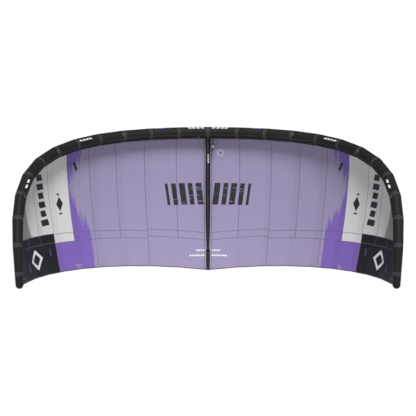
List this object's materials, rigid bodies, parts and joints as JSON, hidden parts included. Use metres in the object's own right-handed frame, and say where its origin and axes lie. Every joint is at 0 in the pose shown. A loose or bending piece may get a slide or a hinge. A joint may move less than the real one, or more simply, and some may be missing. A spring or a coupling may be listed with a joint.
{
  "type": "leading edge inflatable kite",
  "caption": "Power kite with an inflated curved leading-edge tube, one central strut and a thin panelled cloth canopy, for pulling a rider by lines.",
  "frame": {"origin": "axis of the leading-edge tube at mid-span", "axes": "+X along the span, +Z from the trailing edge up to the leading edge, -Y towards the rider, on the hollow side"},
  "size_m": [5.4018, 3.0738, 2.294],
  "materials": {
    "casing": "woven polyester sailcloth, semi-matte",
    "canopy_colour": "coated ripstop cloth, slight sheen",
    "canopy_white": "coated ripstop cloth, slight sheen",
    "canopy_dark": "coated ripstop cloth, slight sheen",
    "tape": "folded polyester tape",
    "bladder": "clear polyurethane film",
    "strut": "woven polyester sailcloth, semi-matte",
    "valve": "moulded",
    "silicone": "soft silicone",
    "hose": "smooth flexible hose",
    "clear_plastic": "moulded, translucent white",
    "patch": "bonded cloth patch",
    "steel": "round wire",
    "zip_tape": "woven zip tape",
    "zip_metal": "cast slider",
    "webbing": "woven webbing"
  },
  "bodies": {
    "kite": {"le_panel_1_right": "casing", "le_panel_2_right": "casing", "le_panel_3_right": "casing", "le_panel_4_right": "casing", "le_panel_5_right": "casing", "le_panel_6_right": "casing", "le_tip_right": "casing", "le_panel_1_left": "casing", "le_panel_2_left": "casing", "le_panel_3_left": "casing", "le_panel_4_left": "casing", "le_panel_5_left": "casing", "le_panel_6_left": "casing", "le_tip_left": "casing", "canopy_centre_band": "canopy_colour", "canopy_panel_1_right": "canopy_colour", "canopy_panel_2_right": "canopy_colour", "canopy_panel_3_right": "canopy_colour", "canopy_panel_4_right": "canopy_colour", "canopy_panel_5_right": "canopy_colour", "canopy_panel_6_right": "canopy_white", "canopy_panel_7_right": "canopy_white", "canopy_panel_8_right": "canopy_white", "canopy_panel_1_left": "canopy_colour", "canopy_panel_2_left": "canopy_colour", "canopy_panel_3_left": "canopy_colour", "canopy_panel_4_left": "canopy_colour", "canopy_panel_5_left": "canopy_colour", "canopy_panel_6_left": "canopy_white", "canopy_panel_7_left": "canopy_white", "canopy_panel_8_left": "canopy_white", "lower_panel_1_right": "canopy_colour", "lower_panel_2_right": "canopy_colour", "lower_panel_3_right": "canopy_colour", "tip_panel_right": "canopy_dark", "lower_panel_1_left": "canopy_colour", "lower_panel_2_left": "canopy_colour", "lower_panel_3_left": "canopy_colour", "tip_panel_left": "canopy_dark", "trailing_edge_tape": "tape", "le_bladder": "bladder", "strut_casing": "strut", "strut_bladder": "bladder", "strut_web": "strut", "strut_tail_patch": "strut", "valve_base": "valve", "hose": "hose", "hose_fittings": "clear_plastic", "clip_body": "clear_plastic", "leash_patch": "patch", "zip_closure": "zip_tape", "bridle_loops_right": "webbing", "bridle_loops_left": "webbing", "tip_loop_right": "webbing", "tip_loop_left": "webbing"},
    "valve_cap": {"valve_cap": "valve"},
    "valve_flap": {"valve_flap": "silicone"},
    "clip_lever": {"clip_lever": "clear_plastic"},
    "leash_ring": {"leash_ring": "steel"},
    "zip_slider": {"zip_slider": "zip_metal"}
  },
  "joints": [
    {"name": "valve_cap_hinge", "type": "hinge", "parent": "kite", "child": "valve_cap", "pos_m": [-0.15212, -0.09424, -0.06386], "axis": [-0.9962, -0.0875, -0.0034], "range_deg": [0, 115]},
    {"name": "valve_flap_hinge", "type": "hinge", "parent": "kite", "child": "valve_flap", "pos_m": [-0.1536, -0.07772, -0.05401], "axis": [0.9962, 0.0875, 0.0034], "range_deg": [0, 50], "stiffness_Nm_per_rad": 0.002},
    {"name": "clip_lever_hinge", "type": "hinge", "parent": "kite", "child": "clip_lever", "pos_m": [0.08, -0.077, -0.221], "axis": [1, 0, 0], "range_deg": [0, 120]},
    {"name": "leash_ring_hinge", "type": "hinge", "parent": "kite", "child": "leash_ring", "pos_m": [0.19972, 0.03141, -0.32793], "axis": [-0.9962, 0.0877, 0], "range_deg": [-4, 160]},
    {"name": "zip_slide", "type": "slide", "parent": "kite", "child": "zip_slider", "axis": [0.9962, -0.0875, -0.0034], "range_m": [0, 0.128]}
  ]
}
